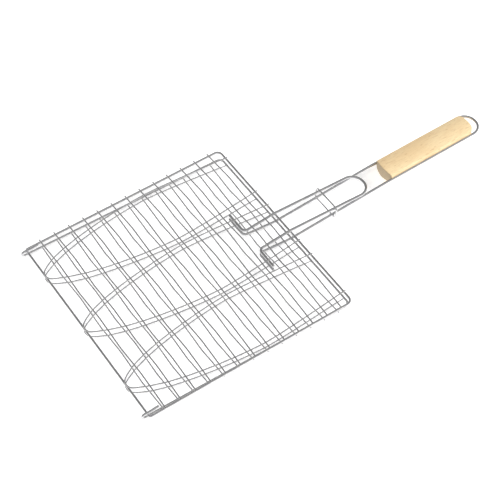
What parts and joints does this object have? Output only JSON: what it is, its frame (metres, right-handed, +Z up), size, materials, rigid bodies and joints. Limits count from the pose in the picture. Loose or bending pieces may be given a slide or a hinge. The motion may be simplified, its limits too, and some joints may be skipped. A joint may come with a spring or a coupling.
{
  "type": "grill basket",
  "caption": "Hinged wire basket for grilling whole fish side by side, with a long wooden-gripped wire handle and a sliding ring that locks it shut.",
  "frame": {"origin": "centre of the bounding box in plan, at the level of the lowest wires, which the basket rests on", "axes": "+X from the hinge towards the handle, +Y across the basket, +Z up, away from the surface it rests on"},
  "size_m": [0.68, 0.3332, 0.038],
  "materials": {
    "frame_wire": "bright chrome-plated steel wire",
    "cross_wire": "bright chrome-plated steel wire",
    "fish_wire": "bright chrome-plated steel wire",
    "handle_wire": "bright chrome-plated steel wire",
    "ring_wire": "bright chrome-plated steel wire",
    "grip_wood": "pale beech, sanded and unvarnished, satin"
  },
  "bodies": {
    "lower_basket": {"lower_frame": "frame_wire", "lower_cross_wire_01": "cross_wire", "lower_cross_wire_02": "cross_wire", "lower_cross_wire_03": "cross_wire", "lower_cross_wire_04": "cross_wire", "lower_cross_wire_05": "cross_wire", "lower_cross_wire_06": "cross_wire", "lower_cross_wire_07": "cross_wire", "lower_cross_wire_08": "cross_wire", "lower_cross_wire_09": "cross_wire", "lower_cross_wire_10": "cross_wire", "lower_cross_wire_11": "cross_wire", "lower_cross_wire_12": "cross_wire", "lower_cross_wire_13": "cross_wire", "lower_fish_wire_left": "fish_wire", "lower_fish_wire_middle": "fish_wire", "lower_fish_wire_right": "fish_wire", "lower_handle": "handle_wire", "grip": "grip_wood"},
    "upper_basket": {"upper_frame": "frame_wire", "upper_cross_wire_01": "cross_wire", "upper_cross_wire_02": "cross_wire", "upper_cross_wire_03": "cross_wire", "upper_cross_wire_04": "cross_wire", "upper_cross_wire_05": "cross_wire", "upper_cross_wire_06": "cross_wire", "upper_cross_wire_07": "cross_wire", "upper_cross_wire_08": "cross_wire", "upper_cross_wire_09": "cross_wire", "upper_cross_wire_10": "cross_wire", "upper_cross_wire_11": "cross_wire", "upper_cross_wire_12": "cross_wire", "upper_cross_wire_13": "cross_wire", "upper_fish_wire_left": "fish_wire", "upper_fish_wire_middle": "fish_wire", "upper_fish_wire_right": "fish_wire", "upper_handle": "handle_wire"},
    "latch_ring": {"latch_ring": "ring_wire"}
  },
  "joints": [
    {"name": "basket_hinge", "type": "hinge", "parent": "lower_basket", "child": "upper_basket", "pos_m": [-0.33008, 0, 0.0128], "axis": [0, -1, 0], "range_deg": [0, 178]},
    {"name": "ring_slide", "type": "slide", "parent": "lower_basket", "child": "latch_ring", "axis": [0.9964, 0, 0.0844], "range_m": [0, 0.09]}
  ]
}
